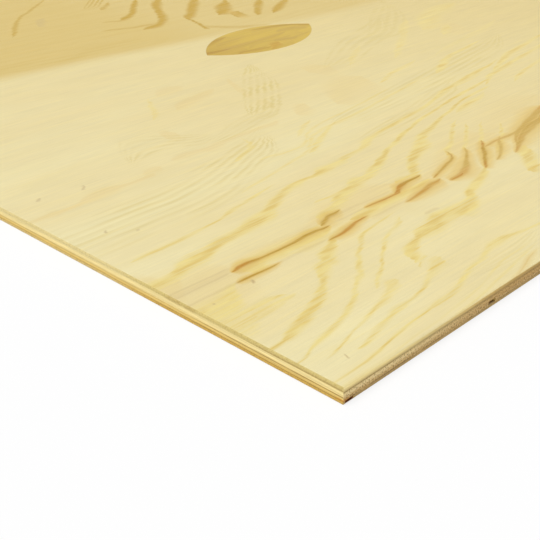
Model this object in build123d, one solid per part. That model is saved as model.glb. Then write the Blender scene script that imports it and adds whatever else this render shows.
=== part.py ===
from build123d import *
import os

# Plywood sheet of four softwood veneers. The face and back run along X, and the two core veneers
# between them run across. The sheet lies flat with its face up, and its origin is under its middle.

# Sheet, as trimmed
sheet_length = 2438.0
sheet_width = 1219.0
face_arris_radius = 1.6
back_arris_radius = 0.5

# Veneers, as pressed and sanded
face_thickness = 3.0
upper_core_thickness = 3.4
lower_core_thickness = 3.2
back_thickness = 2.3

# Boat patch, let into the face through its whole thickness
patch_length = 196.0
patch_width = 97.0
patch_tip_radius = 2.0
patch_turn = 3.5
patch_clearance = 0.15
patch_from_end = 513.0
patch_from_side = 570.0

# Gap between the two lower core veneers, which lie side by side
core_gap_from_end = 155.5
core_gap_width = 8.5

# Splinter lost from the side edge of the back veneer, beside the corner, with a thin lip left under it
chip_from_end = 1.5
chip_length = 8.0
chip_depth = 3.0
chip_deepest_at = 5.5
chip_lip = 0.4

# The end and the side that meet at the patched corner, and each veneer's underside
end_x = -sheet_length / 2
side_y = -sheet_width / 2
lower_core_level = back_thickness
upper_core_level = lower_core_level + lower_core_thickness
face_level = upper_core_level + upper_core_thickness


def veneer(from_end, length, level, thickness):
    # A veneer as wide as the sheet, which starts this far from the end
    leaf = Box(length, sheet_width, thickness, align=(Align.MIN, Align.CENTER, Align.MIN))
    return Pos(end_x + from_end, 0, level) * leaf


def boat(length, width, tip_radius):
    # Outline of a boat patch: two shallow arcs that meet in rounded tips
    tip_reach = length / 2 - tip_radius
    side_radius = (tip_reach**2 + width**2 / 4 - tip_radius**2) / (width - 2 * tip_radius)
    rise = side_radius - width / 2
    lens = (Pos(0, rise) * Circle(side_radius)) & (Pos(0, -rise) * Circle(side_radius))
    return fillet(lens.vertices(), tip_radius)


def boat_solid(clearance):
    # The patch's outline through the face veneer, smaller all round by the clearance
    outline = boat(patch_length - 2 * clearance, patch_width - 2 * clearance, patch_tip_radius - clearance)
    place = Pos(end_x + patch_from_end, side_y + patch_from_side, face_level) * Rot(0, 0, patch_turn)
    return place * extrude(outline, face_thickness)


def make_face_veneer():
    leaf = veneer(0, sheet_length, face_level, face_thickness)
    leaf = fillet(leaf.faces().sort_by(Axis.Z)[-1].edges(), face_arris_radius)
    return leaf - boat_solid(0)


def make_back_veneer():
    leaf = veneer(0, sheet_length, 0, back_thickness)
    leaf = fillet(leaf.faces().sort_by(Axis.Z)[0].edges(), back_arris_radius)
    splinter = make_face(Polyline((0, 0), (chip_length, 0), (chip_deepest_at, chip_depth), close=True))
    return leaf - Pos(end_x + chip_from_end, side_y, chip_lip) * extrude(splinter, back_thickness)


def make_lower_core():
    # The end veneer stops at the gap, and the main one takes up the rest of the sheet
    main_start = core_gap_from_end + core_gap_width
    end_leaf = veneer(0, core_gap_from_end, lower_core_level, lower_core_thickness)
    main_leaf = veneer(main_start, sheet_length - main_start, lower_core_level, lower_core_thickness)
    return end_leaf, main_leaf


lower_core_end, lower_core_main = make_lower_core()
pieces = {
    "face_veneer": make_face_veneer(),
    "boat_patch": boat_solid(patch_clearance),
    "core_veneer_upper": veneer(0, sheet_length, upper_core_level, upper_core_thickness),
    "core_veneer_lower_end": lower_core_end,
    "core_veneer_lower_main": lower_core_main,
    "back_veneer": make_back_veneer(),
}

os.makedirs("parts", exist_ok=True)
for name, piece in pieces.items():
    export_step(piece, f"parts/{name}.step")
    print(name, round(piece.volume / 1000, 1), "cm3")
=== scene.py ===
import math

import bpy
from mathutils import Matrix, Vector


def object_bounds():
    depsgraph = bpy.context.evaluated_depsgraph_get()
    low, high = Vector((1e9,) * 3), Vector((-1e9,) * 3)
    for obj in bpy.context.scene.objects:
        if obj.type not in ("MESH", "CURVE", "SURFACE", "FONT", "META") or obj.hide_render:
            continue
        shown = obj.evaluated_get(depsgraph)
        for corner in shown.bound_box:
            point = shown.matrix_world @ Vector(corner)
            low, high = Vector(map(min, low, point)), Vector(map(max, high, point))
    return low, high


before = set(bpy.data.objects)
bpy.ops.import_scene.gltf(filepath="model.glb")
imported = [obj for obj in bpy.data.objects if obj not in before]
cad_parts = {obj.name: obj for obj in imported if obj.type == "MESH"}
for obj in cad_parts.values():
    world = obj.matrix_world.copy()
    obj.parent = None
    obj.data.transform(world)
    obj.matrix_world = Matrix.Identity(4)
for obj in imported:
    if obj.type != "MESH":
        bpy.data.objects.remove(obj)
cadLow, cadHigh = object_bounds()

# Plywood sheet lying face up. Places on it are counted from its near corner: along the sheet's length,
# across its width, and down from its face. The tables hold them in millimetres, and shaders in metres.
millimetre = 0.001
nearCorner = Vector((cadLow.x, cadLow.y, cadHigh.z))


def srgb(red, green, blue):
    # A colour as it is read off a screen, 0 to 255, turned into the linear one that shaders take
    def linear(value):
        value /= 255
        return value / 12.92 if value <= 0.04045 else ((value + 0.055) / 1.055) ** 2.4
    return (linear(red), linear(green), linear(blue), 1.0)


# Shader building blocks, which all work on the node tree that was opened last

opened = {}


def openTree(tree):
    opened["tree"] = tree
    return tree.nodes


def plug(socket, value):
    # Links a socket, or writes a plain number or colour into it
    if isinstance(value, bpy.types.NodeSocket):
        opened["tree"].links.new(value, socket)
    else:
        socket.default_value = value


def addNode(kind, *values, **settings):
    # A new node, with values for its first sockets
    made = opened["tree"].nodes.new("ShaderNode" + kind)
    for name, value in settings.items():
        setattr(made, name, value)
    for socket, value in zip(made.inputs, values):
        plug(socket, value)
    return made


def calc(operation, *values, clamp=False):
    return addNode("Math", *values, operation=operation, use_clamp=clamp).outputs[0]


def times(result, *factors):
    for factor in factors:
        result = calc("MULTIPLY", result, factor)
    return result


def ease(value, low, high, start=0.0, end=1.0, shape="SMOOTHSTEP"):
    made = addNode("MapRange", value, low, high, start, end, interpolation_type=shape, clamp=shape == "LINEAR")
    return made.outputs["Result"]


def mixColour(amount, first, second, mode="MIX"):
    made = addNode("Mix", amount, data_type="RGBA", blend_type=mode)
    plug(made.inputs[6], first)
    plug(made.inputs[7], second)
    return made.outputs[2]


def paint(colour, *layers):
    # Lays each (amount, colour) over the ones before it
    for amount, shade in layers:
        colour = mixColour(amount, colour, shade)
    return colour


def noise(place, scale, detail=2.0, roughness=0.5, shift=0.0):
    # scale is the number of blotches per metre along, across and through the sheet
    if isinstance(shift, float):
        shift = (shift, shift * 0.7, shift * 1.3)
    moved = addNode("VectorMath", place, scale, shift, operation="MULTIPLY_ADD")
    made = addNode("TexNoise")
    for name, value in (("Vector", moved.outputs[0]), ("Scale", 1.0), ("Detail", detail), ("Roughness", roughness)):
        plug(made.inputs[name], value)
    return made.outputs["Fac"]


def curveThrough(value, points):
    made = addNode("FloatCurve")
    made.mapping.extend = "HORIZONTAL"
    made.mapping.use_clip = False
    curve = made.mapping.curves[0]
    while len(curve.points) < len(points):
        curve.points.new(0.5, 0.5)
    for point, place in zip(curve.points, points):
        point.location = place
        point.handle_type = "AUTO_CLAMPED"
    made.mapping.update()
    plug(made.inputs["Value"], value)
    return made.outputs["Value"]


def newGroup(name, inputs, outputs):
    # inputs is {name: default}, where a number makes a float socket, three a vector and four a colour
    tree = bpy.data.node_groups.new(name, "ShaderNodeTree")
    for label, default in inputs.items():
        kind = "Float" if isinstance(default, float) else "Vector" if len(default) == 3 else "Color"
        socket = tree.interface.new_socket(label, in_out="INPUT", socket_type="NodeSocket" + kind)
        socket.default_value = default
    for label, kind in outputs.items():
        tree.interface.new_socket(label, in_out="OUTPUT", socket_type="NodeSocket" + kind)
    return openTree(tree).new("NodeGroupInput").outputs


def closeGroup(**results):
    ends = opened["tree"].nodes.new("NodeGroupOutput")
    for name, value in results.items():
        plug(ends.inputs[name], value)
    return opened["tree"]


def useGroup(group, **values):
    made = addNode("Group", node_tree=group)
    for name, value in values.items():
        plug(made.inputs[name], value)
    return made.outputs


# Node groups shared by the veneers

def makeSheetPlace():
    given = newGroup("sheetPlace", {"corner": tuple(nearCorner)},
                     {"place": "Vector", "along": "Float", "across": "Float", "depth": "Float",
                      "onEnd": "Float", "onSide": "Float"})
    coords = addNode("TexCoord").outputs
    place = addNode("VectorMath", coords["Object"], given["corner"], operation="SUBTRACT").outputs[0]
    split = addNode("SeparateXYZ", place).outputs
    facing = addNode("SeparateXYZ", coords["Normal"]).outputs
    onEnd = ease(calc("ABSOLUTE", facing["X"]), 0.1, 0.6)
    onSide = ease(calc("ABSOLUTE", facing["Y"]), 0.6, 0.8)
    return closeGroup(place=place, along=split["X"], across=split["Y"],
                      depth=times(split["Z"], -1.0), onEnd=onEnd, onSide=onSide)


def makeRagged():
    # Teeth along the grain, which fray every ring that crosses it, and a slow wander across it
    given = newGroup("raggedGrain", {"place": (0.0, 0.0, 0.0), "teeth": 0.004, "wander": 0.001},
                     {"place": "Vector", "along": "Float", "across": "Float"})
    place = given["place"]
    broad = calc("SUBTRACT", noise(place, (14.0, 190.0, 0.0), 1.0), 0.5)
    fine = calc("SUBTRACT", noise(place, (40.0, 600.0, 0.0), 1.0, shift=5.0), 0.5)
    sway = calc("SUBTRACT", noise(place, (35.0, 60.0, 0.0), shift=9.0), 0.5)
    fray = calc("MULTIPLY_ADD", fine, 0.4, broad)
    split = addNode("SeparateXYZ", place).outputs
    along = calc("MULTIPLY_ADD", fray, times(given["teeth"], 2.0), split["X"])
    across = calc("MULTIPLY_ADD", sway, times(given["wander"], 2.0), split["Y"])
    joined = addNode("CombineXYZ", along, across, split["Z"]).outputs[0]
    return closeGroup(place=joined, along=along, across=across)


def makeRingMark():
    # One ring: full colour at its crisp upper edge, which fades away below, and a halo all round it
    given = newGroup("ringMark", {"across": 0.0, "line": 0.0, "width": 0.0, "strength": 0.5,
                                  "edge": 0.0008, "earlier": 0.0, "earlierHalo": 0.0},
                     {"mask": "Float", "halo": "Float"})
    across, line, width = given["across"], given["line"], given["width"]

    def offLine(widths):
        return calc("MULTIPLY_ADD", width, widths, line)

    edge = calc("MULTIPLY_ADD", width, 0.3, given["edge"])
    rise = ease(across, offLine(-1.7), offLine(-0.6))
    fall = ease(across, calc("SUBTRACT", line, edge), calc("ADD", line, edge), 1.0, 0.0)
    shown = ease(width, 0.0, 0.002, 0.0, given["strength"])
    mask = calc("MAXIMUM", times(rise, fall, shown), given["earlier"])
    below = ease(across, offLine(-3.6), offLine(-0.8))
    above = ease(across, line, offLine(1.6), 1.0, 0.0)
    halo = calc("MAXIMUM", times(below, above, shown), given["earlierHalo"])
    return closeGroup(mask=mask, halo=halo)


def makeRingFamily():
    # Several rings side by side, which share a band and run closer where it narrows
    given = newGroup("ringFamily", {"across": 0.0, "line": 0.0, "width": 0.0, "strength": 0.5,
                                    "rings": 4.0, "earlier": 0.0}, {"mask": "Float"})
    below = calc("SUBTRACT", given["line"], given["across"])
    share = calc("DIVIDE", below, calc("MAXIMUM", given["width"], 0.0001))
    ring = calc("FRACT", times(share, given["rings"]))
    body = times(ease(ring, 0.0, 0.4), ease(ring, 0.45, 0.95, 1.0, 0.0))
    ends = times(ease(share, 0.0, 0.12), ease(share, 0.85, 1.0, 1.0, 0.0))
    shown = ease(given["width"], 0.0, 0.02, 0.0, given["strength"])
    return closeGroup(mask=calc("MAXIMUM", times(body, ends, shown), given["earlier"]))


def makeGrowthRings():
    # Rings where the knife met a log that swells and bends: contour lines of a stretched field
    given = newGroup("growthRings", {"place": (0.0, 0.0, 0.0), "stretch": (1.0, 7.0, 0.0),
                                     "rings": 14.0, "shift": (0.0, 0.0, 0.0), "sharpness": 0.5},
                     {"late": "Float"})
    field = noise(given["place"], given["stretch"], 1.5, 0.35, given["shift"])
    share = calc("FRACT", times(field, given["rings"]))
    rise = ease(share, given["sharpness"], 0.94)
    return closeGroup(late=times(rise, ease(share, 0.95, 1.0, 1.0, 0.0)))


def makeFibres():
    # Fine lines along the grain, from -1 to 1: pores and wood rays that run a few centimetres
    given = newGroup("fibres", {"place": (0.0, 0.0, 0.0), "coarse": (9.0, 500.0, 500.0),
                                "fine": (30.0, 1800.0, 1800.0)}, {"coarse": "Float", "fine": "Float"})
    results = {}
    for label, shift in (("coarse", 2.0), ("fine", 7.0)):
        lines = noise(given["place"], given[label], shift=(shift, shift, shift))
        results[label] = ease(lines, 0.3, 0.7, -1.0, 1.0, "LINEAR")
    return closeGroup(**results)


def makePores():
    # Sawn end grain: dark pores and pale fibres
    given = newGroup("pores", {"place": (0.0, 0.0, 0.0), "scale": 800.0}, {"dark": "Float", "light": "Float"})
    dots = noise(given["place"], given["scale"], 3.0, 0.6)
    return closeGroup(dark=ease(dots, 0.5, 0.34), light=ease(dots, 0.5, 0.66))


def makeBand():
    # A soft-edged stripe between two places along one direction
    given = newGroup("softBand", {"place": 0.0, "low": 0.0, "high": 0.001, "soft": 0.0003},
                     {"mask": "Float"})
    into = ease(given["place"], calc("SUBTRACT", given["low"], given["soft"]), given["low"])
    after = calc("ADD", given["high"], given["soft"])
    return closeGroup(mask=times(into, ease(given["place"], given["high"], after, 1.0, 0.0)))


sheetPlace = makeSheetPlace()
raggedGrain = makeRagged()
ringMark = makeRingMark()
ringFamily = makeRingFamily()
growthRings = makeGrowthRings()
fibres = makeFibres()
pores = makePores()
softBand = makeBand()
print("node groups made:", len(bpy.data.node_groups))


# What the veneers' materials have in common

woodSheen = 0.25
sideBrown = (0.7, 0.58, 0.42, 1.0)


def startWood(name, look):
    material = bpy.data.materials.new(name)
    material.use_nodes = True
    shader = openTree(material.node_tree)["Principled BSDF"]
    shader.inputs["Roughness"].default_value = look["roughness"]
    shader.inputs["Specular IOR Level"].default_value = woodSheen
    return material, shader, useGroup(sheetPlace)


def finishWood(shader, colour, height, look):
    plug(shader.inputs["Base Color"], colour)
    bump = addNode("Bump")
    plug(bump.inputs["Strength"], look["relief"])
    plug(bump.inputs["Distance"], look["reliefHeight"] * millimetre)
    plug(bump.inputs["Height"], height)
    plug(shader.inputs["Normal"], bump.outputs[0])


def tint(colour, amount, dark, light):
    # Darkens where amount is -1 and lightens where it is 1
    factor = ease(amount, -1.0, 1.0, dark, light, "LINEAR")
    grey = addNode("CombineColor", factor, factor, factor).outputs[0]
    return mixColour(1.0, colour, grey, "MULTIPLY")


def addLines(colour, lines, look):
    return tint(tint(colour, lines["coarse"], *look["coarseTint"]), lines["fine"], *look["fineTint"])


def downVeneer(depth, top, bottom, colours):
    # Blends three colours from a veneer's upper face to its lower one
    share = ease(depth, top * millimetre, bottom * millimetre, 0.0, 1.0, "LINEAR")
    ramp = addNode("ValToRGB", share)
    ramp.color_ramp.elements.new(0.5)
    for stop, place, colour in zip(ramp.color_ramp.elements, (0.0, 0.5, 1.0), colours):
        stop.position = place
        stop.color = colour
    return ramp.outputs[0]


def brownAlong(colour, along):
    # The sawn side turns browner away from the corner, and half as brown further on
    amount = times(ease(along, 0.03, 0.19), ease(along, 0.3, 0.7, 1.0, 0.5))
    return mixColour(amount, colour, sideBrown, "MULTIPLY")


def spot(place, low, high, soft):
    # 1 between two places along one direction, in millimetres
    low, high, soft = low * millimetre, high * millimetre, soft * millimetre
    return useGroup(softBand, place=place, low=low, high=high, soft=soft)["mask"]


# Face veneer

face = {
    "cream": srgb(238, 227, 178),
    "rose": srgb(233, 215, 160),
    "warm": srgb(227, 208, 150),
    "tan": srgb(218, 193, 121),
    "blush": srgb(229, 206, 143),
    "late": srgb(234, 215, 139),
    "olderLate": srgb(194, 156, 42),
    "farLate": srgb(210, 176, 88),
    "fine": srgb(216, 195, 120),
    "deep": srgb(210, 173, 80),
    "resin": srgb(222, 187, 94),
    "pitch": srgb(182, 143, 40),
    "russet": srgb(190, 136, 42),
    "stain": srgb(196, 172, 124),
    "endGrain": (srgb(201, 180, 110), srgb(203, 182, 113), srgb(198, 177, 108)),
    "endPale": srgb(238, 218, 148),
    "endPore": srgb(128, 104, 56),
    "endFibre": srgb(222, 204, 140),
    # Side of the face veneer, lighter at its top and darker further down: grain colour with painted light on the
    # rounded edge and painted shade below it
    "sideGrain": (srgb(250, 230, 160), srgb(238, 214, 144), srgb(200, 174, 108)),
    "streak": srgb(170, 138, 72),
    "dust": srgb(226, 209, 152),
    "coarseTint": (0.965, 1.02),  # darkest and lightest on lines along the grain
    "fineTint": (0.965, 1.03),
    "sideTint": (0.84, 1.12),
    "ragged": {"teeth": 0.004, "wander": 0.0014},
    "growth": {"stretch": (0.9, 6.5, 0.0), "rings": 20.0, "shift": (3.3, 1.7, 0.0), "sharpness": 0.35},
    "roughness": 0.6,
    "ringShine": 0.08,  # how much smoother rings and resin are
    "pitchShine": 0.12,
    "relief": 0.25,  # strength of the fine relief, and its height in millimetres
    "reliefHeight": 0.3,
}

# Where the older, browner wood starts, as (along, across) in metres
olderFrom = [(0.0, 0.676), (0.2, 0.656), (0.3, 0.645), (0.42, 0.626), (0.7, 0.586)]

# Sides of the part whose rings are drawn one by one, as shares of along and across, and the reach in metres
# over which they give way to a field of rings. The last side faces outward from the corner.
drawnSides = [(-0.844, 0.537, 0.2, 0.3), (0.504, -0.864, 0.12, 0.2), (0.721, 0.693, 0.96, 1.1)]

# Rings of the latewood, as a strength and (along, across, width) points on each ring's crisp upper edge
goldenRings = [
    # Beside the corner
    (0.8, [(-4, 8.4, 1.2), (20, 9.2, 1.6), (40, 10.8, 2.2), (60, 13.8, 2), (75, 16, 2.2), (90, 17.6, 2), (110, 19, 2),
        (122, 21, 3.6), (135, 21.2, 3.6), (152, 24.2, 3.6), (160, 27.2, 3.6), (180, 32.8, 3.4), (200, 36.2, 4.2),
        (210, 40.4, 4.8), (222, 44, 7), (235, 43.6, 6), (250, 40, 3.6), (277, 35, 2.4), (310, 31, 0)]),
    (0.53, [(20, 2.6, 1.5), (60, 4, 1.4), (80, 5.8, 1.4), (105, 6, 1.2), (125, 8, 1.4), (145, 9.8, 1.6),
        (165, 12.4, 1.6), (185, 18, 2), (205, 21.6, 1.8), (235, 23, 1.4), (262, 24, 0)]),
    (0.59, [(110, 1, 1), (135, 3, 1.4), (160, 5.6, 1.6), (180, 8.8, 1.8), (200, 12.4, 2), (220, 15, 2),
        (245, 18, 0)]),
    (0.73, [(36, 21, 0), (42, 22.4, 2.4), (55, 25.6, 3.6), (65, 28.6, 4.4), (80, 32.2, 4.2), (97, 36.4, 5),
        (110, 36, 2.4), (122, 38, 3), (135, 42, 3.6), (145, 46, 4), (155, 51, 7), (163, 56, 9.6), (170, 60, 12),
        (175, 60, 8), (178, 58, 0)]),
    (0.66, [(8, 27.4, 0), (20, 28.6, 1.4), (35, 32, 2), (55, 38.6, 2), (70, 42, 2.6), (85, 46, 3), (100, 51, 6),
        (110, 55, 6.4), (115, 59, 8.6), (120, 63, 10), (125, 62, 6), (129, 60, 0)]),
    (0.8, [(-4, 38.4, 1.4), (12, 40.6, 2), (22, 45, 2.8), (40, 49.4, 4), (60, 54.6, 3.8), (72, 59, 4), (80, 62.6, 4),
        (88, 68, 5.4), (95, 72.6, 4), (102, 77, 3.6), (108, 82, 5), (115, 85, 5.4), (121, 91, 5.6), (128, 96, 5.4),
        (134, 100, 4), (138, 105, 5), (145, 108.6, 3.4), (152, 113.4, 4), (158, 120, 6), (165, 122.6, 3.4),
        (180, 125.4, 2.4), (205, 128.4, 1.8), (225, 129, 0)]),
    (0.73, [(106, 60, 0), (111, 65, 3.4), (116, 69, 4), (121, 73.4, 4.6), (128, 76, 3.2), (135, 79.4, 3),
        (141, 84, 3.4), (150, 90.8, 3.2), (160, 97.8, 3.4), (168, 103, 4), (174, 106, 4), (185, 110.6, 3),
        (195, 114, 4), (206, 118, 3.2), (214, 122, 0)]),
    (1, [(-4, 62, 3), (12, 62.4, 3), (19, 65.6, 6), (26, 69, 7.4), (40, 73, 7.4), (52, 77.6, 7.4), (62, 82, 8),
        (70, 86, 8), (78, 90.6, 8), (86, 95.4, 6), (92, 101, 6.4), (97, 109, 11), (104, 113.4, 11), (111, 115.8, 9),
        (118, 123.4, 14), (126, 127.4, 11), (134, 130, 9), (142, 133.4, 6), (148, 136, 0)]),
    # Golden patches beside the end
    (0.8, [(-4, 133, 28), (6, 132, 28), (16, 131, 26), (28, 134, 20), (38, 137, 8), (46, 138, 0)]),
    (0.59, [(-4, 104, 20), (8, 103, 19), (18, 100, 10), (26, 96, 0)]),
    (0.73, [(14, 104, 0), (22, 107.4, 5), (38, 108, 7), (52, 105.6, 5), (60, 100, 0)]),
    (0.66, [(8, 98, 0), (16, 99.4, 4), (40, 100.6, 5), (56, 98.4, 4), (66, 97, 0)]),
    (0.59, [(12, 92, 0), (24, 94.4, 4), (44, 94.6, 3), (54, 94, 0)]),
    # Between the dark streaks, and the long ring above them
    (1, [(58, 150, 0), (65, 150.4, 11), (72, 150.4, 12), (86, 150, 8), (100, 149.6, 9), (120, 149.6, 8),
        (140, 149.6, 9), (154, 149.4, 4), (162, 149, 0)]),
    (0.53, [(100, 140, 0), (120, 140.6, 7), (140, 141, 6), (160, 142, 4), (172, 143, 0)]),
    (0.93, [(178, 146, 0), (192, 149.4, 9), (206, 150, 10), (225, 149.6, 9), (246, 149.6, 9), (258, 149, 7),
        (280, 149.6, 5), (292, 149, 0)]),
    (0.59, [(58, 158.6, 0), (80, 158.4, 4), (140, 158, 4), (176, 158.6, 0)]),
    (0.95, [(-4, 179, 9), (10, 180, 9), (22, 181, 9), (29, 184, 10), (34, 188, 12), (42, 191, 14), (50, 192.6, 15),
        (58, 192, 13), (66, 193, 10), (74, 195, 9), (84, 197, 9), (96, 197.4, 9), (108, 198.6, 10), (118, 203, 13),
        (130, 205.6, 14), (142, 207, 13), (152, 212, 11), (162, 217, 10), (172, 220, 8), (182, 223, 7), (192, 226, 7),
        (202, 228, 7.6), (212, 228, 5), (224, 226.6, 4), (231, 228.6, 6), (237, 233, 10), (246, 235, 10.6),
        (256, 234, 8), (266, 234, 8), (278, 237, 7), (290, 237.6, 5), (302, 238, 5), (311, 242, 7), (320, 248, 9),
        (329, 251, 7), (340, 252, 4.6), (354, 254, 4), (370, 256, 4), (388, 258.6, 4), (412, 262, 4), (435, 265, 4),
        (455, 269, 4), (475, 275, 4.4), (492, 281, 5), (520, 287, 5.4), (548, 291, 6), (572, 295, 6), (610, 299, 4),
        (650, 304, 0)]),
    (1, [(163, 160, 0), (167, 169, 6), (174, 170.6, 7), (182, 171.6, 7), (190, 173.6, 7.4), (198, 179, 10),
        (205, 184.6, 12), (214, 186.8, 10), (224, 188.6, 9.6), (232, 191, 9.6), (238, 195.6, 13), (246, 197, 11),
        (256, 194.6, 7.4), (266, 198.6, 8.4), (276, 201.6, 8.4), (286, 204.8, 7.4), (296, 210.4, 8),
        (306, 213.6, 6.4), (316, 217.6, 4.6), (326, 221.6, 4.6), (345, 227.4, 5), (360, 233.4, 4.6),
        (376, 237.6, 3.6), (392, 242, 3.6), (408, 246, 3.6), (430, 250, 3.4), (460, 255, 3.4), (490, 261, 4),
        (520, 265, 4), (548, 268, 3.4), (580, 271, 0)]),
    (0.8, [(264, 162, 0), (268, 169.6, 6), (276, 170, 6), (285, 168, 4), (292, 167, 0)]),
    (1, [(282, 162, 0), (288, 167, 9), (294, 173, 10), (302, 180.4, 11), (310, 186.6, 11), (318, 192, 10),
        (326, 195.8, 10.4), (336, 201, 11), (346, 206, 12.6), (355, 211.6, 14), (363, 215.8, 13), (370, 219.6, 10),
        (380, 222.4, 7), (391, 224.6, 6.6), (402, 226.8, 5.4), (416, 230.6, 4.4), (435, 236, 3.4), (460, 242, 3.4),
        (490, 250, 3), (520, 254, 3), (560, 256, 0)]),
    (0.8, [(338, 160, 0), (345, 166, 4.4), (350, 172, 6.4), (355, 178.4, 8), (362, 181.4, 5), (375, 187.4, 4.4),
        (385, 193.4, 4.4), (395, 199.4, 4.4), (406, 205.6, 4), (420, 213, 3), (440, 222, 0)]),
    (0.73, [(364, 160, 0), (372, 168, 4), (380, 174.4, 4.2), (390, 179.6, 4.2), (400, 185.4, 3.8), (410, 192.4, 4),
        (421, 199, 3.4), (436, 208, 0)]),
    (0.8, [(393, 160, 0), (398, 168.4, 5), (408, 174.4, 4.4), (419, 181, 4), (436, 192, 2.6), (450, 200, 0)]),
    (0.8, [(378, 134, 0), (388, 141.6, 5.6), (395, 148.4, 6), (402, 151.4, 6.4), (411, 154.8, 5), (418, 159.6, 5.4),
        (425, 162.6, 4.4), (436, 169.6, 4.4), (446, 176, 3), (460, 184, 0)]),
    (1, [(366, 92, 0), (372, 102, 11), (380, 110, 15), (388, 116, 17), (396, 124, 17), (402, 128.6, 17),
        (410, 130.4, 12), (420, 132, 0)]),
    # The broad ring that turns in beside the side edge
    (1, [(157, 64, 0), (160, 70, 6), (164, 79, 13), (169, 83.6, 12), (175, 86.4, 10.6), (183, 88.4, 8), (190, 90, 6),
        (197, 95, 10), (206, 97.6, 13), (216, 98.4, 14), (226, 102.6, 15), (236, 105.6, 15), (246, 103.8, 14),
        (253, 102.6, 18), (261, 101.6, 17), (270, 100.6, 13), (279, 102, 10), (286, 108, 11), (293, 112.4, 8),
        (301, 114.4, 7), (311, 117.4, 7), (321, 119.6, 6.4), (330, 122, 5.4), (338, 125, 5.4), (346, 129.4, 4.4),
        (354, 134, 0)]),
    (0.73, [(152, 56, 0), (158, 62, 3), (163, 66.6, 4), (170, 67, 3), (175, 64, 0)]),
    (0.8, [(182, 187, 0), (190, 189, 2.4), (198, 187.6, 2.4), (208, 186.6, 2), (222, 186, 0)]),
    # Above the seam, fanning out along the sheet
    (0.73, [(10, 213, 0), (22, 216.6, 4), (45, 218, 4.4), (65, 218.4, 4), (90, 220, 3), (110, 222.6, 3),
        (122, 227.4, 4.6), (132, 229.6, 4.6), (142, 230, 3), (156, 232.6, 3.4), (172, 235.6, 2.4), (196, 238, 0)]),
    (0.8, [(262, 264, 0), (272, 269, 5), (283, 276.6, 7), (294, 282.4, 7), (306, 287, 6), (318, 293, 5),
        (332, 299, 4), (350, 303, 0)]),
    (0.66, [(200, 297, 0), (210, 303.4, 5), (222, 309, 5), (232, 313.6, 5), (240, 320, 8), (246, 330, 8),
        (249, 338, 0)]),
    (0.59, [(286, 300, 0), (298, 309, 5), (310, 317, 6), (320, 321, 5), (334, 324, 0)]),
    (0.66, [(448, 230, 0), (462, 236.4, 6), (478, 240.4, 7.4), (494, 242.4, 7), (512, 244, 5), (530, 248, 0)]),
    (0.53, [(690, 446, 0), (712, 470, 24), (740, 492, 30), (775, 506, 26), (815, 510, 20), (850, 505, 0)]),
    (0.66, [(688, 412, 0), (704, 428, 12), (722, 438, 12), (738, 440, 0)]),
    (0.59, [(220, 434, 0), (230, 448, 7), (240, 462, 10), (250, 478, 10), (262, 492, 0)]),
    (0.53, [(640, 440, 0), (655, 458, 10), (675, 474, 12), (700, 488, 10), (724, 498, 0)]),
    (0.53, [(560, 392, 0), (585, 412, 9), (615, 432, 10), (648, 450, 8), (680, 464, 0)]),
    (0.46, [(500, 412, 0), (520, 430, 8), (548, 448, 8), (580, 462, 0)]),
    # The fan of rings that runs on past the photographed part
    (0.55, [(150, 243, 0), (170, 249, 3), (200, 255, 3.4), (230, 262, 3.4), (258, 268, 4), (272, 274, 5),
        (284, 283, 6), (297, 293, 5.4), (315, 298, 4), (340, 301, 4.4), (371, 304, 6), (395, 307, 5), (425, 311, 3.4),
        (460, 317, 4), (500, 324, 4), (540, 331, 0)]),
    (0.5, [(215, 284, 0), (232, 287, 4), (246, 284, 5), (262, 282, 4), (282, 287, 4), (300, 301, 4), (320, 308, 3.4),
        (350, 313, 3), (390, 318, 3), (430, 324, 3.4), (470, 331, 0)]),
    (0.85, [(546, 258, 0), (562, 267, 4), (580, 277, 6), (600, 281.6, 6), (625, 285, 6), (650, 289, 5.4),
        (690, 294, 5), (731, 300, 5), (790, 308, 0)]),
    (0.85, [(590, 274, 0), (610, 287, 4), (630, 295, 6), (648, 302, 7), (665, 309, 8), (700, 315, 7.4), (735, 320, 6),
        (775, 325, 4), (820, 330, 0)]),
    (0.65, [(578, 240, 0), (596, 251, 5), (615, 257, 5.4), (645, 263, 5), (680, 269, 5), (715, 277, 0)]),
    (0.45, [(470, 268, 0), (495, 276, 3), (520, 281, 3), (560, 285, 3), (590, 288, 0)]),
    (0.85, [(546, 322, 0), (556, 330, 6), (570, 338, 9), (586, 346, 9), (602, 352, 7), (630, 358, 5), (665, 362, 4),
        (710, 368, 0)]),
    (0.55, [(468, 344, 0), (486, 353, 5), (503, 361, 6), (526, 366, 6), (550, 369, 5), (580, 374, 0)]),
    (0.35, [(600, 366, 0), (640, 378, 6), (690, 388, 8), (750, 398, 8), (810, 410, 0)]),
    # Beyond the patch
    (0.45, [(418, 780, 0), (432, 779, 5), (445, 773, 6), (460, 775, 6), (474, 784, 0)]),
    (0.5, [(392, 745, 0), (408, 743, 5), (431, 734, 6), (455, 730, 7), (474, 724, 0)]),
    (0.42, [(498, 664, 0), (508, 668, 14), (520, 654, 16), (536, 638, 14), (556, 625, 12), (580, 612, 0)]),
    (0.7, [(296, 800, 0), (312, 826, 9), (326, 846, 10), (345, 868, 7), (363, 887, 6), (382, 900, 5), (405, 917, 5),
        (429, 935, 4), (450, 950, 0)]),
    (1, [(446, 772, 0), (456, 781, 9), (467, 785, 9), (479, 793, 10), (496, 811, 11), (512, 829, 10), (526, 841, 9),
        (545, 860, 0)]),
    (1, [(436, 712, 0), (450, 718, 9), (467, 722, 11), (479, 730, 11), (492, 745, 15), (504, 763, 18), (517, 784, 19),
        (529, 803, 17), (542, 818, 17), (556, 828, 12), (580, 850, 0)]),
    (1, [(496, 655, 0), (501, 668, 12), (506, 682, 14), (511, 698, 14), (517, 719, 13), (533, 734, 15),
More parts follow.
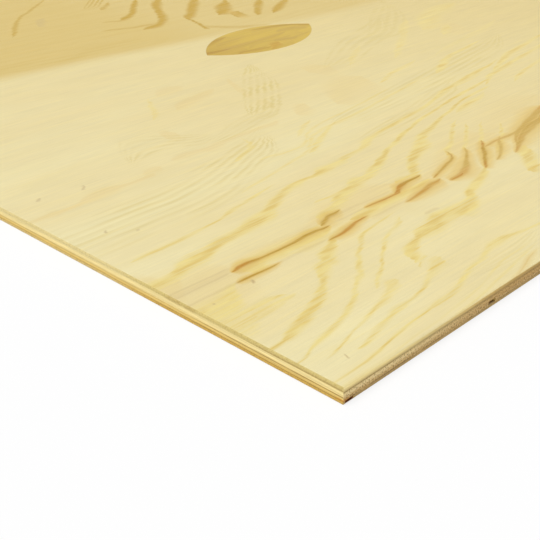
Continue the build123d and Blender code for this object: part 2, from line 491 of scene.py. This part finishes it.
        (550, 751, 16), (567, 768, 16), (581, 781, 16), (598, 795, 12), (620, 815, 0)]),
    (1, [(560, 696, 0), (568, 710, 14), (576, 719, 22), (584, 729, 25), (592, 735, 24), (601, 740, 20),
        (613, 747, 15), (632, 760, 0)]),
    (0.93, [(568, 668, 0), (577, 694, 22), (586, 698, 26), (594, 694, 0)]),
    (0.93, [(596, 658, 0), (604, 671, 10), (617, 684, 11), (629, 697, 13), (642, 709, 14), (656, 718, 10),
        (676, 732, 0)]),
    (0.93, [(620, 650, 0), (631, 663, 9), (650, 676, 13), (667, 686, 12), (684, 693, 9), (704, 702, 0)]),
    (0.66, [(462, 836, 0), (474, 848, 8), (488, 858, 8), (502, 868, 0)]),
]

# Families of fine, near-parallel rings: the last number is how many share the width below the upper edge
ringFamilies = [
    (0.44, [(-4, 302, 70), (50, 303, 70), (95, 303, 71), (125, 306, 72), (150, 311, 72), (180, 319, 68),
        (215, 330, 62), (250, 340, 54), (290, 350, 0)], 8),
    (0.38, [(330, 300, 0), (370, 316, 38), (430, 326, 44), (500, 338, 50), (560, 348, 52), (620, 356, 50),
        (690, 366, 44), (760, 378, 0)], 6),
    (0.32, [(300, 250, 0), (350, 262, 20), (420, 275, 26), (500, 295, 30), (560, 306, 0)], 4),
    (0.6, [(290, 366, 0), (312, 398, 46), (338, 428, 62), (366, 458, 66), (396, 486, 62), (430, 508, 0)], 6),
    (0.35, [(600, 470, 0), (640, 500, 50), (690, 540, 70), (740, 570, 60), (790, 590, 0)], 5),
    (0.35, [(460, 420, 0), (505, 455, 44), (565, 490, 60), (640, 515, 60), (720, 540, 0)], 5),
    (0.14, [(180, 704, 20), (230, 706, 42), (290, 700, 48), (350, 692, 46), (410, 682, 40), (450, 668, 0)], 4),
    (0.5, [(440, 850, 0), (462, 872, 26), (490, 900, 34), (520, 926, 30), (550, 950, 0)], 4),
    (0.4, [(128, 352, 0), (146, 396, 38), (166, 418, 56), (188, 408, 50), (215, 384, 36), (240, 364, 0)], 5),
    (0.3, [(150, 26, 0), (175, 28, 9), (205, 29, 14), (240, 31, 16), (280, 34, 0)], 4),
    (0.4, [(210, 345, 0), (240, 362, 20), (280, 378, 30), (320, 386, 28), (360, 396, 0)], 4),
]

# Tan and pinkish stretches beside the seam, in the same form as the rings
blushes = [
    (0.7, [(60, 158, 0), (75, 159, 4), (100, 158.6, 5), (130, 158, 4), (152, 160, 6), (170, 166, 10), (190, 172, 12),
        (215, 172, 14), (240, 168, 12), (262, 166, 0)]),
    (0.8, [(186, 144, 0), (200, 150, 8), (225, 151, 8), (250, 150, 8), (280, 151, 8), (300, 152, 8), (320, 158, 9),
        (345, 168, 12), (375, 176, 16), (405, 176, 18), (430, 170, 0)]),
    (0.6, [(-4, 157.6, 20), (20, 157.6, 20), (45, 157, 18), (66, 152, 0)]),
    (0.5, [(390, 160, 0), (420, 168, 18), (455, 180, 24), (490, 190, 26), (530, 198, 20), (560, 202, 0)]),
    (0.9, [(-4, 176, 20), (4, 175, 18), (12, 172, 10), (22, 170, 0)]),
    # The seam above, and what crosses it
    (0.7, [(-4, 324, 1.6), (14, 325, 2), (24, 326, 3), (34, 325, 2), (50, 326, 2), (58, 329, 4), (70, 332, 5),
        (82, 333, 5), (92, 331, 3), (104, 328.6, 1.6), (120, 328.6, 1.6), (128, 330, 2.4), (138, 330, 0)]),
    (0.5, [(124, 334, 0), (132, 338, 4), (140, 338.6, 4), (150, 337, 0)]),
    (0.6, [(160, 340, 0), (172, 344, 3), (183, 345, 4), (195, 343, 3), (207, 340, 4), (218, 342, 4), (232, 343, 2),
        (250, 344, 2), (272, 344, 2), (294, 343, 3), (312, 346, 0)]),
    (0.6, [(332, 340, 0), (342, 350, 7), (354, 358, 8), (366, 362, 0)]),
    (0.6, [(196, 386, 0), (202, 396, 9), (208, 398, 9), (214, 392, 0)]),
    (0.7, [(256, 440, 0), (268, 451, 5), (282, 456, 6), (300, 459, 5), (318, 463, 4), (336, 467, 0)]),
    (0.5, [(270, 488, 0), (284, 499, 6), (300, 501, 7), (316, 497, 0)]),
    (0.5, [(326, 380, 0), (332, 391, 8), (338, 396, 8), (346, 398, 0)]),
    (0.6, [(336, 416, 0), (344, 434, 6), (352, 452, 6), (360, 468, 5), (370, 482, 0)]),
    (0.6, [(386, 334, 0), (400, 350, 12), (418, 364, 18), (440, 374, 22), (462, 380, 20), (480, 378, 0)]),
    (0.5, [(700, 414, 0), (716, 430, 12), (734, 438, 12), (750, 438, 0)]),
    (0.6, [(448, 430, 0), (458, 438, 12), (472, 438, 12), (486, 430, 0)]),
]

# Resin-filled streaks
pitchStreaks = [
    (1, [(52, 150, 0), (58, 152.4, 3.4), (64, 155, 5), (71, 155.2, 5), (79, 153.4, 4), (85, 152, 2.8),
        (95, 151.6, 2.6), (107, 151.6, 2.6), (118, 152, 3.2), (129, 153, 3.8), (138, 154, 4.2), (146, 153.8, 3.6),
        (154, 152.2, 2.8), (166, 150.6, 0)]),
    (0.9, [(154, 154, 0), (160, 158.4, 4.4), (167, 161.6, 5), (175, 164.8, 5), (184, 164, 3), (192, 164, 0)]),
    (0.9, [(43, 136.4, 0), (50, 138, 2.6), (57, 138.2, 3.2), (65, 137.6, 3), (74, 137, 2.6), (82, 136.8, 2),
        (96, 136.2, 0)]),
    (1, [(138, 133, 0), (147, 135, 2.8), (156, 136.2, 3.8), (164, 137.8, 4.2), (173, 139.6, 4), (182, 141, 3),
        (190, 141, 2), (202, 140.4, 0)]),
    (0.95, [(202, 150.8, 0), (212, 152, 2.6), (226, 151.8, 3), (240, 151.4, 2.8), (250, 152.4, 3.4), (256, 157, 0)]),
    (1, [(242, 150.6, 0), (250, 154.4, 3.8), (257, 158.8, 5.4), (264, 161, 5.6), (271, 161.4, 4.4), (279, 160.8, 3.4),
        (288, 160.2, 2.4), (296, 160.4, 0)]),
    (0.85, [(234, 133, 0), (247, 135.6, 3), (256, 137.6, 4.4), (265, 139.6, 5.4), (275, 142, 6), (284, 143.8, 6.4),
        (291, 143.2, 5), (301, 142.6, 0)]),
    (0.85, [(292, 146.6, 0), (300, 149.8, 2.6), (310, 153, 3.2), (320, 156, 3.6), (331, 159, 3.6), (341, 162, 3.4),
        (348, 166, 3.2), (353, 172, 3), (356, 177, 0)]),
    (0.75, [(298, 133, 0), (304, 136.4, 3.5), (311, 137, 5.2), (318, 138.4, 7), (325, 140.6, 9), (333, 144, 9.5),
        (341, 148, 8.4), (348, 152, 6), (355, 155.8, 4.4), (362, 160, 4), (369, 164.4, 3), (378, 171, 0)]),
    (1, [(299, 133, 0), (305, 135, 3), (311, 135.4, 3.6), (318, 135.8, 3), (326, 136.6, 0)]),
    (0.95, [(344, 126, 0), (351, 132, 3.6), (359, 138.2, 4.6), (368, 144.8, 5.4), (378, 152, 5.8), (387, 158.6, 5),
        (395, 164, 3.8), (404, 170, 0)]),
    (0.7, [(366, 129.6, 0), (375, 133.6, 3), (383, 137.6, 3.4), (390, 141.6, 4.2), (397, 146.2, 5), (404, 151.4, 5.4),
        (411, 156.2, 5), (418, 160, 3), (426, 162, 0)]),
    (0.72, [(384, 155, 0), (396, 157.6, 3), (410, 159.2, 3.6), (423, 158.8, 4), (435, 158, 4.4), (446, 158.6, 4.8),
        (460, 161, 0)]),
    (0.75, [(408, 134, 0), (420, 143, 4), (430, 150, 5), (440, 156, 7), (450, 160, 8), (462, 163.6, 9),
        (475, 167.6, 9.5), (490, 171.6, 10), (510, 176.4, 10), (532, 181, 0)]),
    (0.75, [(394, 127, 0), (402, 131, 3), (410, 135, 4.4), (420, 140, 5), (430, 144.6, 6), (440, 149, 6.4),
        (450, 152, 7), (462, 155, 7), (475, 158, 7), (490, 161, 7), (510, 166, 6), (532, 170, 0)]),
    (0.8, [(398, 128, 0), (403, 131, 2.6), (414, 138, 3.6), (425, 143.4, 4.6), (436, 149, 5), (448, 153.6, 5.4),
        (460, 157.4, 5.6), (475, 161, 5.4), (490, 162.6, 5), (512, 168, 0)]),
    (0.42, [(476, 166, 0), (486, 173, 9), (496, 177, 11), (508, 178, 11), (520, 176, 10), (540, 178, 0)]),
    # Wood stained with resin beside the streaks
    (0.4, [(54, 147, 0), (62, 150, 6), (72, 151.4, 7), (82, 149, 0)]),
    (0.36, [(104, 148, 0), (114, 150, 4.6), (126, 151.4, 6), (138, 152, 6), (150, 151, 4.6), (158, 149, 0)]),
    (0.42, [(180, 0.6, 0.8), (195, 3, 1.4), (205, 5, 1.7), (213, 7.2, 2), (221, 9.6, 1.9), (230, 11.4, 1.5),
        (245, 13.6, 0)]),
    (0.3, [(570, 660, 0), (577, 686, 13.6), (584, 696, 13.6), (590, 700, 0)]),
]

# Grey stains and small marks
greyStains = [
    (0.3, [(-4, 157.8, 2), (3, 157.8, 2), (48, 157.6, 2), (60, 157.4, 0)]),
    (0.35, [(-4, 151.8, 2), (3, 151.8, 2), (46, 151.8, 2.2), (57, 152, 0)]),
    (0.2, [(-4, 157, 6), (3, 157, 6), (50, 157, 6), (58, 156, 0)]),
    (0.3, [(-4, 138, 2), (10, 138, 2), (28, 138, 2.4), (46, 137.6, 2), (52, 137, 0)]),
    (0.2, [(82, 137.6, 0), (95, 137.6, 2.4), (130, 137, 2.4), (146, 135.6, 0)]),
    (0.2, [(192, 136.6, 0), (204, 136.6, 2), (240, 136.4, 2), (262, 137, 0)]),
    (0.2, [(166, 152, 0), (176, 152, 2), (200, 151.6, 2), (208, 151, 0)]),
    (0.2, [(160, 160, 0), (190, 160.4, 2.4), (240, 159, 2.4), (252, 159, 0)]),
    (0.3, [(228, 108, 0), (236, 110.4, 3), (244, 110.2, 3), (250, 108, 0)]),
    (0.3, [(350, 822, 0), (360, 842, 16), (370, 854, 16), (382, 856, 0)]),
    (0.8, [(52, 127.6, 0), (55, 131.4, 2.8), (58, 133, 0)]),
    (0.6, [(26, 19, 0), (27.5, 23, 3.6), (29, 24, 0)]),
    (0.5, [(13, 126, 0), (15, 128, 2), (17, 128, 0)]),
    (0.5, [(27, 353, 0), (31, 357, 4), (35, 358, 0)]),
    (0.5, [(67, 346, 0), (71, 351, 4), (76, 355, 0)]),
    (0.6, [(29, 266, 0), (31.6, 269.4, 3.2), (34, 270, 0)]),
    (0.4, [(49, 251, 0), (52, 254, 2.4), (55, 254, 0)]),
]


def ringCurves(along, points):
    # The upper edge and the width, as curves that run from 0 at the first point to 1 at the last
    start, length = points[0][0], points[-1][0] - points[0][0]
    share = calc("MULTIPLY_ADD", along, 1 / (length * millimetre), -start / length)
    line = curveThrough(share, [((x - start) / length, y * millimetre) for x, y, width in points])
    width = curveThrough(share, [((x - start) / length, width * millimetre) for x, y, width in points])
    return line, width


def drawRings(along, across, rings, earlier=0.0, edge=0.0008):
    # Lays each ring over the ones before it
    earlierHalo = 0.0
    for strength, points in rings:
        line, width = ringCurves(along, points)
        earlier, earlierHalo = useGroup(ringMark, across=across, line=line, width=width,
                                        strength=strength, edge=edge, earlier=earlier, earlierHalo=earlierHalo)
    return earlier, earlierHalo


def drawFamilies(along, across, families):
    earlier = 0.0
    for strength, points, rings in families:
        line, width = ringCurves(along, points)
        earlier = useGroup(ringFamily, across=across, line=line, width=width, strength=strength,
                           rings=rings, earlier=earlier)["mask"]
    return earlier


def makeFaceWood():
    material, shader, here = startWood("faceWood", face)
    place, along, across, depth, onEnd, onSide = here
    grain, grainAlong, grainAcross = useGroup(raggedGrain, place=place, **face["ragged"])
    calmer = times(calc("ADD", grainAlong, along), 0.5)

    # Rings drawn one by one as far as the photograph shows the face, and a field of rings beyond
    drawn = 1.0
    for shareAlong, shareAcross, start, end in drawnSides:
        reach = calc("MULTIPLY_ADD", along, shareAlong, times(across, shareAcross))
        drawn = times(drawn, ease(reach, start, end, 1.0, 0.0))
    golden = useGroup(growthRings, place=grain, **face["growth"])["late"]
    golden = times(golden, ease(drawn, 0.0, 1.0, 0.55, 0.08, "LINEAR"))
    fading = ease(noise(place, (9.0, 50.0, 0.0), shift=13.0), 0.36, 0.62, 0.25, 1.1)
    fineRings = times(drawFamilies(grainAlong, grainAcross, ringFamilies), fading)
    golden = drawRings(grainAlong, grainAcross, goldenRings, golden)[0]
    blush = drawRings(calmer, grainAcross, blushes)[1]
    pitch, resin = drawRings(calmer, grainAcross, pitchStreaks, edge=0.0005)
    stain = drawRings(calmer, grainAcross, greyStains)[0]

    # Plain wood: rosy in places, warmer further from the corner, and mottled
    lines = useGroup(fibres, place=place)
    rosy = ease(noise(place, (2.2, 9.0, 0.0), shift=4.0), 0.35, 0.65, 0.0, 0.7)
    colour = paint(face["cream"], (rosy, face["rose"]),
                   (ease(reach, 0.1, 0.95, 0.0, 1.0, "LINEAR"), face["warm"]),
                   (ease(along, 0.45, 0.85, 0.0, 0.2), face["tan"]))
    mottle = ease(noise(place, (22.0, 90.0, 0.0), shift=15.0), 0.35, 0.65, -1.0, 1.0, "LINEAR")
    colour = tint(colour, mottle, 0.982, 1.014)

    # Older, browner wood beyond a straight boundary
    boundary = curveThrough(grainAlong, olderFrom)
    older = ease(calc("SUBTRACT", grainAcross, boundary), -0.014, 0.024)
    colour = paint(colour, (times(older, ease(grainAlong, 0.42, 0.54, 1.0, 0.7)), face["tan"]),
                   (times(blush, 0.8), face["blush"]))

    # Latewood, unevenly along the grain, and deepest where it is broadest
    uneven = ease(lines["coarse"], -1.0, 1.0, 0.55, 1.35, "LINEAR")
    streaky = ease(lines["coarse"], 0.0, 1.0, 0.0, 0.16, "LINEAR")
    golden = calc("MULTIPLY_ADD", golden, uneven, streaky, clamp=True)
    lateColour = mixColour(older, face["late"], face["olderLate"])
    patchy = ease(noise(place, (26.0, 120.0, 0.0), shift=6.0), 0.38, 0.66, 0.0, 0.58)
    deepest = times(calc("POWER", golden, 2.5), patchy, calc("SUBTRACT", 1.0, older))
    colour = paint(colour, (fineRings, mixColour(older, face["fine"], face["olderLate"])),
                   (golden, mixColour(drawn, face["farLate"], lateColour)), (deepest, face["deep"]))

    # Resin, darkest in the middle of a streak, and grey stains
    resin = calc("MAXIMUM", times(resin, 0.7), pitch)
    darkest = calc("MULTIPLY", calc("POWER", pitch, 2.2), uneven, clamp=True)
    russet = ease(noise(place, (12.0, 40.0, 0.0), 1.0, shift=11.0), 0.42, 0.6)
    colour = paint(colour, (resin, face["resin"]),
                   (darkest, mixColour(russet, face["pitch"], face["russet"])), (stain, face["stain"]))
    colour = addLines(colour, lines, face)

    # The sawn end shows the fibres' cut ends, and the side their length
    dots = useGroup(pores, place=place)
    pale = times(ease(across, 0.05, 0.15), ease(depth, 0.0016, 0.003))
    brown = times(spot(across, 133, 138, 5), spot(depth, 0, 2.6, 0.6))
    brown = calc("MAXIMUM", brown, spot(across, 147, 156, 7))
    line = times(spot(depth, 2.0, 2.6, 0.3), ease(across, 0.06, 0.09, 0.7, 0.0))
    endColour = paint(downVeneer(depth, 0.3, 3.0, face["endGrain"]), (pale, face["endPale"]),
                      (ease(across, 0.17, 0.23, 0.0, 0.55), face["dust"]),
                      (calc("MAXIMUM", times(brown, 0.35), line), face["streak"]),
                      (times(dots["dark"], 0.25), face["endPore"]),
                      (times(dots["light"], 0.3), face["endFibre"]))
    # The face veneer's side runs from a painted highlight on the rounded edge down into painted shade
    sideColour = downVeneer(depth, 0.0, 3.0, face["sideGrain"])
    sideColour = tint(sideColour, lines["coarse"], *face["sideTint"])
    colour = paint(colour, (onEnd, endColour), (onSide, brownAlong(sideColour, along)))

    rough = calc("MULTIPLY_ADD", golden, -face["ringShine"], face["roughness"])
    rough = calc("MULTIPLY_ADD", pitch, -face["pitchShine"], rough)
    plug(shader.inputs["Roughness"], rough)
    finishWood(shader, colour, calc("ADD", lines["coarse"], lines["fine"]), face)
    return material


# Boat patch

patch = {
    "wood": srgb(210, 179, 76),
    "late": srgb(190, 153, 58),
    "knot": srgb(198, 156, 54),
    "rim": srgb(178, 138, 46),
    "coarseTint": (0.93, 1.04),
    "fineTint": (0.96, 1.02),
    "ragged": {"teeth": 0.006, "wander": 0.002},
    "growth": {"stretch": (3.0, 16.0, 0.0), "rings": 12.0, "shift": (0.4, 6.1, 0.0), "sharpness": 0.2},
    "roughness": 0.55,
    "ringShine": 0.08,
    "relief": 0.3,
    "reliefHeight": 0.3,
}

# In the same form as the face's rings, and the darker rims and the knot likewise
patchStreaks = [
    (0.75, [(436, 564, 0), (446, 570, 9), (466, 572, 10), (486, 572, 9), (500, 571, 8), (520, 571, 8), (545, 572, 6),
        (560, 571, 0)]),
    (0.6, [(444, 584, 0), (460, 592, 8), (476, 594, 8), (492, 594, 6), (510, 592, 0)]),
    (0.5, [(470, 548, 0), (488, 559, 5), (504, 560, 5), (524, 558, 7), (540, 557, 6), (556, 556, 0)]),
    (0.9, [(514, 552, 0), (524, 555, 9), (534, 552, 10), (544, 548, 8), (556, 545, 0)]),
    (0.7, [(548, 578, 0), (564, 586, 12), (580, 584, 14), (592, 578, 12), (602, 570, 0)]),
    (0.5, [(540, 536, 0), (548, 547, 7), (562, 550, 7), (575, 552, 5), (588, 552, 0)]),
    (0.45, [(520, 598, 0), (540, 602, 6), (560, 600, 6), (580, 596, 5), (592, 588, 0)]),
]

patchRims = [
    (1, [(398, 570, 6), (412, 574, 7), (422, 573, 7), (432, 571, 6), (444, 568, 4), (458, 565, 0)]),
    (0.8, [(406, 574, 0), (420, 590, 8), (434, 600, 10), (450, 606, 10), (468, 608, 8), (488, 608, 0)]),
    (0.7, [(442, 540, 0), (456, 546, 6), (472, 544, 8), (486, 541, 8), (498, 536, 0)]),
    (0.8, [(528, 608, 0), (550, 607, 5), (572, 602, 6), (590, 594, 7), (602, 584, 9), (614, 572, 0)]),
]

patchKnot = [(0.9, [(489, 524, 0), (495, 534, 8), (501, 542, 13), (508, 547, 15), (514, 547, 11), (519, 544, 0)])]


def makePatchWood():
    material, shader, here = startWood("patchWood", patch)
    grain, along, across = useGroup(raggedGrain, place=here["place"], **patch["ragged"])
    rings = useGroup(growthRings, place=grain, **patch["growth"])
    late = drawRings(along, across, patchStreaks, times(rings["late"], 0.3))[0]
    rim = drawRings(along, across, patchRims)[0]
    knot = drawRings(along, across, patchKnot)[0]
    lines = useGroup(fibres, place=here["place"])
    colour = paint(patch["wood"], (times(late, 0.85), patch["late"]),
                   (ease(here["along"], 0.41, 0.51, 0.6, 0.0), patch["late"]),
                   (times(rim, 0.8), patch["rim"]), (knot, patch["knot"]))
    colour = addLines(colour, lines, patch)
    rough = calc("MULTIPLY_ADD", late, -patch["ringShine"], patch["roughness"])
    plug(shader.inputs["Roughness"], rough)
    finishWood(shader, colour, calc("ADD", lines["coarse"], late), patch)
    return material


# Core veneers, whose grain runs across the sheet, and the back veneer

core = {
    "upper": {
        "depths": (3.0, 6.4),
        "longGrain": (srgb(238, 217, 150), srgb(247, 226, 158), srgb(236, 210, 138)),
        "endGrain": (srgb(210, 182, 118), srgb(252, 226, 162), srgb(240, 210, 148)),
        "poreAmount": 0.6,
    },
    "lower": {
        "depths": (6.4, 9.6),
        "longGrain": (srgb(216, 188, 112), srgb(232, 201, 119), srgb(198, 162, 78)),
        "endGrain": (srgb(238, 204, 140), srgb(210, 174, 106), srgb(208, 170, 108)),
        "poreAmount": 0.7,
    },
    "pore": srgb(104, 74, 38),
    "fibre": srgb(255, 240, 196),
    "glue": srgb(146, 108, 48),
    "resin": srgb(200, 134, 44),
    "coarseTint": (0.84, 1.08),
    "fineTint": (0.93, 1.04),
    "fibres": {"coarse": (500.0, 22.0, 800.0), "fine": (1800.0, 120.0, 1900.0)},
    "roughness": 0.75,
    "relief": 0.5,
    "reliefHeight": 0.3,
}


def makeCoreWood(name):
    layer = core[name]
    material, shader, here = startWood(name + "CoreWood", core)
    place, along, across, depth, onEnd, onSide = here
    lines = useGroup(fibres, place=place, **core["fibres"])
    dots = useGroup(pores, place=place)
    lengthways = downVeneer(depth, *layer["depths"], layer["longGrain"])
    lengthways = addLines(lengthways, lines, core)
    crossways = paint(downVeneer(depth, *layer["depths"], layer["endGrain"]),
                      (times(dots["dark"], layer["poreAmount"]), core["pore"]),
                      (times(dots["light"], 0.4), core["fibre"]))
    browner = brownAlong(crossways, along)
    if name == "upper":
        seam = times(spot(depth, 2.6, 3.3, 0.3), ease(along, 0.04, 0.08, 0.8, 0.0))
        crossways = mixColour(seam, browner, core["glue"])
    else:
        # Brown only near its top, and chipped in a row just above the back veneer
        chips = ease(noise(place, (70.0, 70.0, 0.0), shift=8.0), 0.42, 0.58, 0.0, 0.6)
        crossways = paint(crossways, (ease(depth, 0.0064, 0.0082, 0.9, 0.0), browner),
                          (times(chips, spot(depth, 9.1, 9.5, 0.3)), core["pore"]))
    colour = mixColour(onSide, lengthways, crossways)

    # Glue that bled out of the end above and below this veneer, most of it near the corner, and a drop of resin
    glue = times(spot(depth, 6.5, 7.0, 0.25), ease(across, 0.11, 0.135, 0.7, 0.1))
    lowest = times(spot(depth, 9.2, 9.6, 0.3), ease(across, 0.13, 0.21, 0.6, 0.1))
    patchy = ease(noise(place, (20.0, 45.0, 0.0), shift=3.0), 0.3, 0.6, 0.45, 1.0)
    glue = times(calc("MAXIMUM", glue, lowest), calc("SUBTRACT", 1.0, onSide), patchy)
    drop = ease(calc("ADD", along, across), 0.003, 0.008, 0.7, 0.0)
    drop = times(drop, spot(depth, 8.6, 9.5, 0.3))
    colour = paint(colour, (glue, core["glue"]), (drop, core["resin"]))
    height = calc("SUBTRACT", lines["coarse"], times(dots["dark"], onSide))
    finishWood(shader, colour, height, core)
    return material


back = {
    "depths": (9.6, 11.9),
    "wood": srgb(212, 184, 132),
    "late": srgb(178, 134, 78),
    "endGrain": (srgb(206, 168, 80), srgb(213, 176, 88), srgb(205, 168, 86)),
    "sideGrain": (srgb(194, 162, 102), srgb(200, 168, 104), srgb(184, 156, 98)),
    # Torn wood in the splinter's hollow, darkened with painted shade of the recess
    "tornWoodAndShade": srgb(150, 94, 54),
    "coarseTint": (0.93, 1.04),
    "fineTint": (0.95, 1.02),
    "sideTint": (0.8, 1.12),
    "ragged": {"teeth": 0.004, "wander": 0.0012},
    "growth": {"stretch": (0.8, 6.0, 0.0), "rings": 22.0, "shift": (8.3, 4.7, 0.0), "sharpness": 0.3},
    "roughness": 0.75,
    "relief": 0.5,
    "reliefHeight": 0.4,
}


def makeBackWood():
    material, shader, here = startWood("backWood", back)
    place, along, across, depth, onEnd, onSide = here
    grain = useGroup(raggedGrain, place=place, **back["ragged"])["place"]
    rings = useGroup(growthRings, place=grain, **back["growth"])
    lines = useGroup(fibres, place=place)
    dots = useGroup(pores, place=place)
    colour = mixColour(times(rings["late"], 0.7), back["wood"], back["late"])
    colour = addLines(colour, lines, back)
    endColour = paint(downVeneer(depth, *back["depths"], back["endGrain"]),
                      (ease(across, 0.17, 0.23, 0.0, 0.5), face["dust"]),
                      (times(dots["dark"], 0.35), core["pore"]))
    sideColour = downVeneer(depth, *back["depths"], back["sideGrain"])
    sideColour = tint(sideColour, lines["coarse"], *back["sideTint"])

    # The hollow that the splinter left beside the corner, painted dark reddish brown: torn wood, with painted shade
    # of the recess in it
    hollow = times(spot(along, 1.2, 9.3, 0.5), spot(across, 0.3, 3.4, 0.15))
    colour = paint(colour, (onEnd, endColour), (onSide, sideColour), (hollow, back["tornWoodAndShade"]))
    finishWood(shader, colour, calc("ADD", lines["coarse"], lines["fine"]), back)
    return material


def dress(material, *nodes):
    for node in nodes:
        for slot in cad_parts[node].material_slots:
            slot.material = material


dress(makeCoreWood("upper"), "core_veneer_upper")
dress(makeCoreWood("lower"), "core_veneer_lower_end", "core_veneer_lower_main")
dress(makeFaceWood(), "face_veneer")
dress(makePatchWood(), "boat_patch")
dress(makeBackWood(), "back_veneer")
print("veneers dressed:", len(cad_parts))


# Studio

studio = {
    "floorSize": 40.0,
    "floorBelow": 0.0003,
    "floorColour": (0.95, 0.95, 0.95, 1.0),
    "floorGlow": 0.75,
    "skyColour": (1.0, 1.0, 1.0, 1.0),
    "skyLevel": 0.38,
    "sunStrength": 2.3,
    "sunSoftness": 50.0,
    "sunFrom": (-0.42, 0.06, 0.78),
}


def seenByCamera():
    # 1 for a ray straight from the camera, or by way of gloss or glass
    light = addNode("LightPath").outputs
    seen = calc("MAXIMUM", light["Is Camera Ray"], light["Is Glossy Ray"])
    return calc("MAXIMUM", seen, light["Is Transmission Ray"])


def makeFloor():
    # Shaded paper that also glows a little where the camera sees it, and is clear from below
    half = studio["floorSize"] / 2
    mesh = bpy.data.meshes.new("floor")
    mesh.from_pydata([(-half, -half, 0), (half, -half, 0), (half, half, 0), (-half, half, 0)], [], [(0, 1, 2, 3)])
    floor = bpy.data.objects.new("floor", mesh)
    floor.location.z = cadLow.z - studio["floorBelow"]
    bpy.context.scene.collection.objects.link(floor)
    material = bpy.data.materials.new("paperFloor")
    material.use_nodes = True
    openTree(material.node_tree).clear()
    paper = addNode("BsdfDiffuse", studio["floorColour"]).outputs[0]
    glow = addNode("Emission").outputs[0]
    white = addNode("MixShader", times(seenByCamera(), studio["floorGlow"]), paper, glow).outputs[0]
    clear = addNode("BsdfTransparent").outputs[0]
    fromBelow = addNode("NewGeometry").outputs["Backfacing"]
    oneSided = addNode("MixShader", fromBelow, white, clear).outputs[0]
    addNode("OutputMaterial", oneSided)
    mesh.materials.append(material)


def makeLight():
    world = bpy.data.worlds.new("studioAir")
    bpy.context.scene.world = world
    world.use_nodes = True
    air = openTree(world.node_tree)["Background"]
    plug(air.inputs["Color"], studio["skyColour"])
    plug(air.inputs["Strength"], ease(seenByCamera(), 0.0, 1.0, studio["skyLevel"], 1.0, "LINEAR"))
    lamp = bpy.data.lights.new("softKey", "SUN")
    lamp.energy = studio["sunStrength"]
    lamp.angle = math.radians(studio["sunSoftness"])
    key = bpy.data.objects.new("softKey", lamp)
    key.rotation_mode = "QUATERNION"
    key.rotation_quaternion = Vector(studio["sunFrom"]).to_track_quat("Z", "Y")
    bpy.context.scene.collection.objects.link(key)


view = {
    "eye": (-372.18, -297.81, 336.29),  # millimetres from the near corner
    "heading": 43.886,  # degrees from the sheet's length towards its width
    "down": 28.424,
    "lens": 65.528,
    "sensor": 36.0,
}


def makeCamera():
    data = bpy.data.cameras.new("photoView")
    data.lens = view["lens"]
    data.sensor_width = view["sensor"]
    data.clip_start = 0.01
    camera = bpy.data.objects.new("photoView", data)
    camera.location = nearCorner + Vector(view["eye"]) * millimetre
    camera.rotation_euler = (math.radians(90 - view["down"]), 0, math.radians(view["heading"] - 90))
    bpy.context.scene.collection.objects.link(camera)
    bpy.context.scene.camera = camera


makeFloor()
makeLight()
makeCamera()
bpy.context.scene.view_settings.view_transform = "Standard"
print("studio set")
